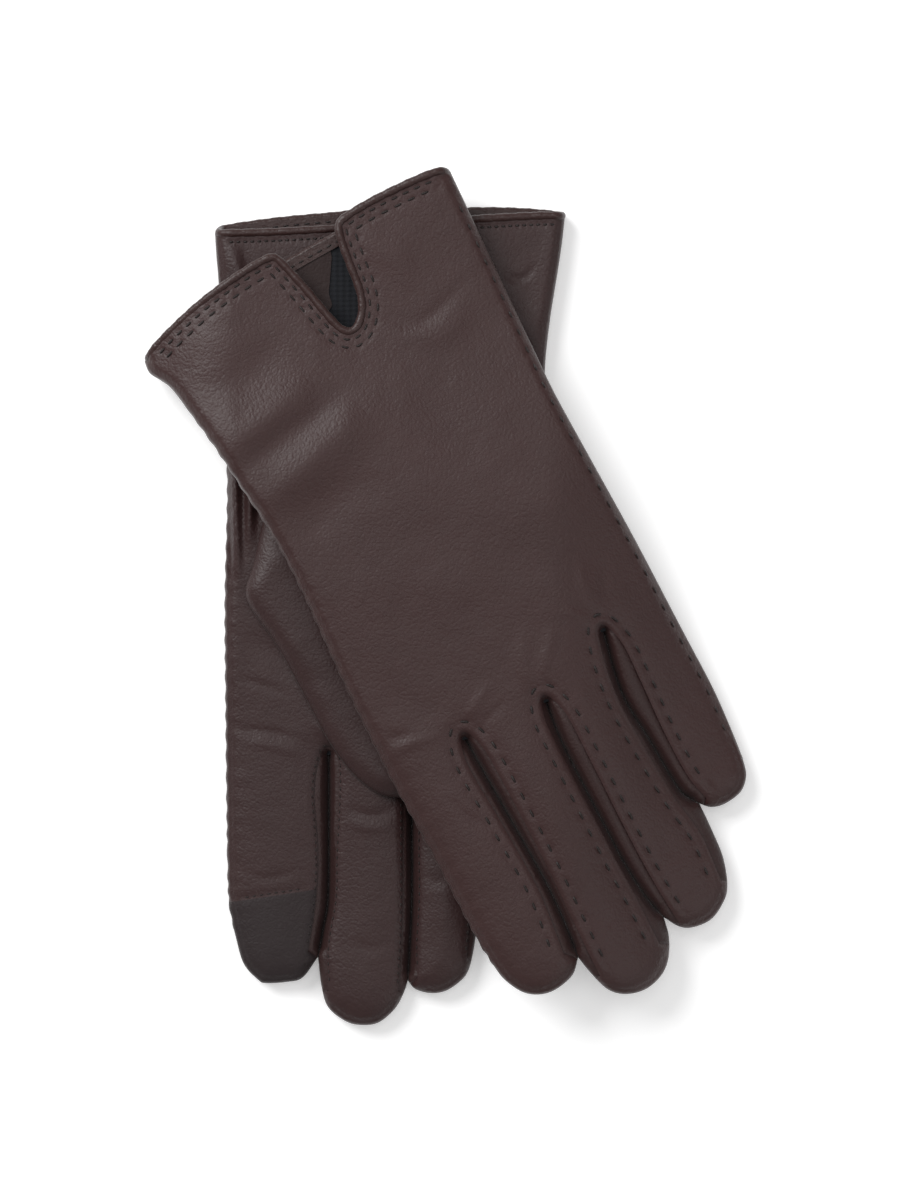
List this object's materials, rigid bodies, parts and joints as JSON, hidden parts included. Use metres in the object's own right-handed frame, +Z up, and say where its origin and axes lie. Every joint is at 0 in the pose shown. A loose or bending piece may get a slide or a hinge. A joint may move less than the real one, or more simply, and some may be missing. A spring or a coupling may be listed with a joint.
{
  "type": "touchscreen gloves",
  "caption": "Pair of lined dark brown leather dress gloves, one crossed over the other, with conductive fingertip panels, rolled cuff binding, hinged fingers and folded thumbs.",
  "frame": {"origin": "centre of the pair's footprint, on the table", "axes": "X across the lower glove, from its index finger to its little finger; Y from fingertips to cuffs; Z up from the table"},
  "size_m": [0.1806, 0.2575, 0.0261],
  "materials": {
    "left_leather": "fine-grained smooth sheep leather, dark brown, soft sheen",
    "right_leather": "fine-grained smooth sheep leather, dark brown, soft sheen",
    "gusset_leather": "the same leather, cut as thin strips",
    "binding_leather": "the same leather, rolled over the edge",
    "facing_leather": "the same hide with its rougher side out, a little redder",
    "touch_leather": "conductive coated leather, charcoal, matte",
    "knit_lining": "fine black-navy rib knit",
    "thread": "dark brown twisted polyester thread"
  },
  "bodies": {
    "right_hand": {"right_back_panel": "right_leather", "right_palm_panel": "right_leather", "right_cuff_binding": "binding_leather", "right_cuff_facing": "facing_leather", "right_hand_lining": "knit_lining", "right_hand_stitching": "thread", "right_gusset_index_middle": "gusset_leather", "right_gusset_middle_ring": "gusset_leather", "right_gusset_ring_little": "gusset_leather"},
    "right_index": {"right_index_stall": "right_leather", "right_index_lining": "knit_lining", "right_index_stitching": "thread", "right_index_gusset": "gusset_leather", "right_index_touch_panel": "touch_leather"},
    "right_middle": {"right_middle_stall": "right_leather", "right_middle_lining": "knit_lining", "right_middle_stitching": "thread", "right_middle_gusset_index": "gusset_leather", "right_middle_gusset_ring": "gusset_leather"},
    "right_ring": {"right_ring_stall": "right_leather", "right_ring_lining": "knit_lining", "right_ring_stitching": "thread", "right_ring_gusset_middle": "gusset_leather", "right_ring_gusset_little": "gusset_leather"},
    "right_little": {"right_little_stall": "right_leather", "right_little_lining": "knit_lining", "right_little_stitching": "thread", "right_little_gusset": "gusset_leather"},
    "right_thumb": {"right_thumb_stall": "right_leather", "right_thumb_lining": "knit_lining"},
    "left_hand": {"left_back_panel": "left_leather", "left_palm_panel": "left_leather", "left_cuff_binding": "binding_leather", "left_cuff_facing": "facing_leather", "left_hand_lining": "knit_lining", "left_hand_stitching": "thread", "left_gusset_index_middle": "gusset_leather", "left_gusset_middle_ring": "gusset_leather", "left_gusset_ring_little": "gusset_leather"},
    "left_index": {"left_index_stall": "left_leather", "left_index_lining": "knit_lining", "left_index_stitching": "thread", "left_index_gusset": "gusset_leather", "left_index_touch_panel": "touch_leather"},
    "left_middle": {"left_middle_stall": "left_leather", "left_middle_lining": "knit_lining", "left_middle_stitching": "thread", "left_middle_gusset_index": "gusset_leather", "left_middle_gusset_ring": "gusset_leather"},
    "left_ring": {"left_ring_stall": "left_leather", "left_ring_lining": "knit_lining", "left_ring_stitching": "thread", "left_ring_gusset_middle": "gusset_leather", "left_ring_gusset_little": "gusset_leather"},
    "left_little": {"left_little_stall": "left_leather", "left_little_lining": "knit_lining", "left_little_stitching": "thread", "left_little_gusset": "gusset_leather"},
    "left_thumb": {"left_thumb_stall": "left_leather", "left_thumb_lining": "knit_lining"}
  },
  "joints": [
    {"name": "left_glove_lift", "type": "slide", "parent": "right_hand", "child": "left_hand", "axis": [0, 0, 1], "range_m": [0, 0.15]},
    {"name": "right_index_curl", "type": "hinge", "parent": "right_hand", "child": "right_index", "pos_m": [-0.05005, -0.06965, 0.0092], "axis": [-1, 0, 0], "range_deg": [0, 90]},
    {"name": "right_middle_curl", "type": "hinge", "parent": "right_hand", "child": "right_middle", "pos_m": [-0.02205, -0.07465, 0.0092], "axis": [-1, 0, 0], "range_deg": [0, 90]},
    {"name": "right_ring_curl", "type": "hinge", "parent": "right_hand", "child": "right_ring", "pos_m": [0.00095, -0.07065, 0.0092], "axis": [-1, 0, 0], "range_deg": [0, 60]},
    {"name": "right_little_curl", "type": "hinge", "parent": "right_hand", "child": "right_little", "pos_m": [0.02245, -0.05265, 0.0092], "axis": [-1, 0, 0], "range_deg": [0, 60]},
    {"name": "left_index_bend", "type": "hinge", "parent": "left_hand", "child": "left_index", "pos_m": [0.00804, -0.07108, 0.0263], "axis": [-0.8918, -0.4524, 0], "range_deg": [0, 30]},
    {"name": "left_middle_bend", "type": "hinge", "parent": "left_hand", "child": "left_middle", "pos_m": [0.03215, -0.06334, 0.0263], "axis": [-0.8918, -0.4524, 0], "range_deg": [0, 30]},
    {"name": "left_ring_bend", "type": "hinge", "parent": "left_hand", "child": "left_ring", "pos_m": [0.05174, -0.04891, 0.02485], "axis": [-0.8918, -0.4524, 0], "range_deg": [0, 30]},
    {"name": "left_little_bend", "type": "hinge", "parent": "left_hand", "child": "left_little", "pos_m": [0.06592, -0.02602, 0.01991], "axis": [-0.8918, -0.4524, 0], "range_deg": [0, 30]},
    {"name": "right_thumb_open", "type": "hinge", "parent": "right_hand", "child": "right_thumb", "pos_m": [-0.04996, 0.00713, 0.0093], "axis": [-0.848, -0.5299, 0], "range_deg": [0, 60]},
    {"name": "left_thumb_open", "type": "hinge", "parent": "left_hand", "child": "left_thumb", "pos_m": [-0.02569, -0.00883, 0.0168], "axis": [0.5165, 0.8563, 0], "range_deg": [0, 50]}
  ],
  "couplings": [
    {"joint": "right_thumb_open", "follows": "left_glove_lift", "rad_per_m": 6.981},
    {"joint": "left_thumb_open", "follows": "left_glove_lift", "rad_per_m": 5.817},
    {"joint": "right_ring_curl", "follows": "left_glove_lift", "rad_per_m": 6.981},
    {"joint": "right_little_curl", "follows": "left_glove_lift", "rad_per_m": 6.981}
  ]
}
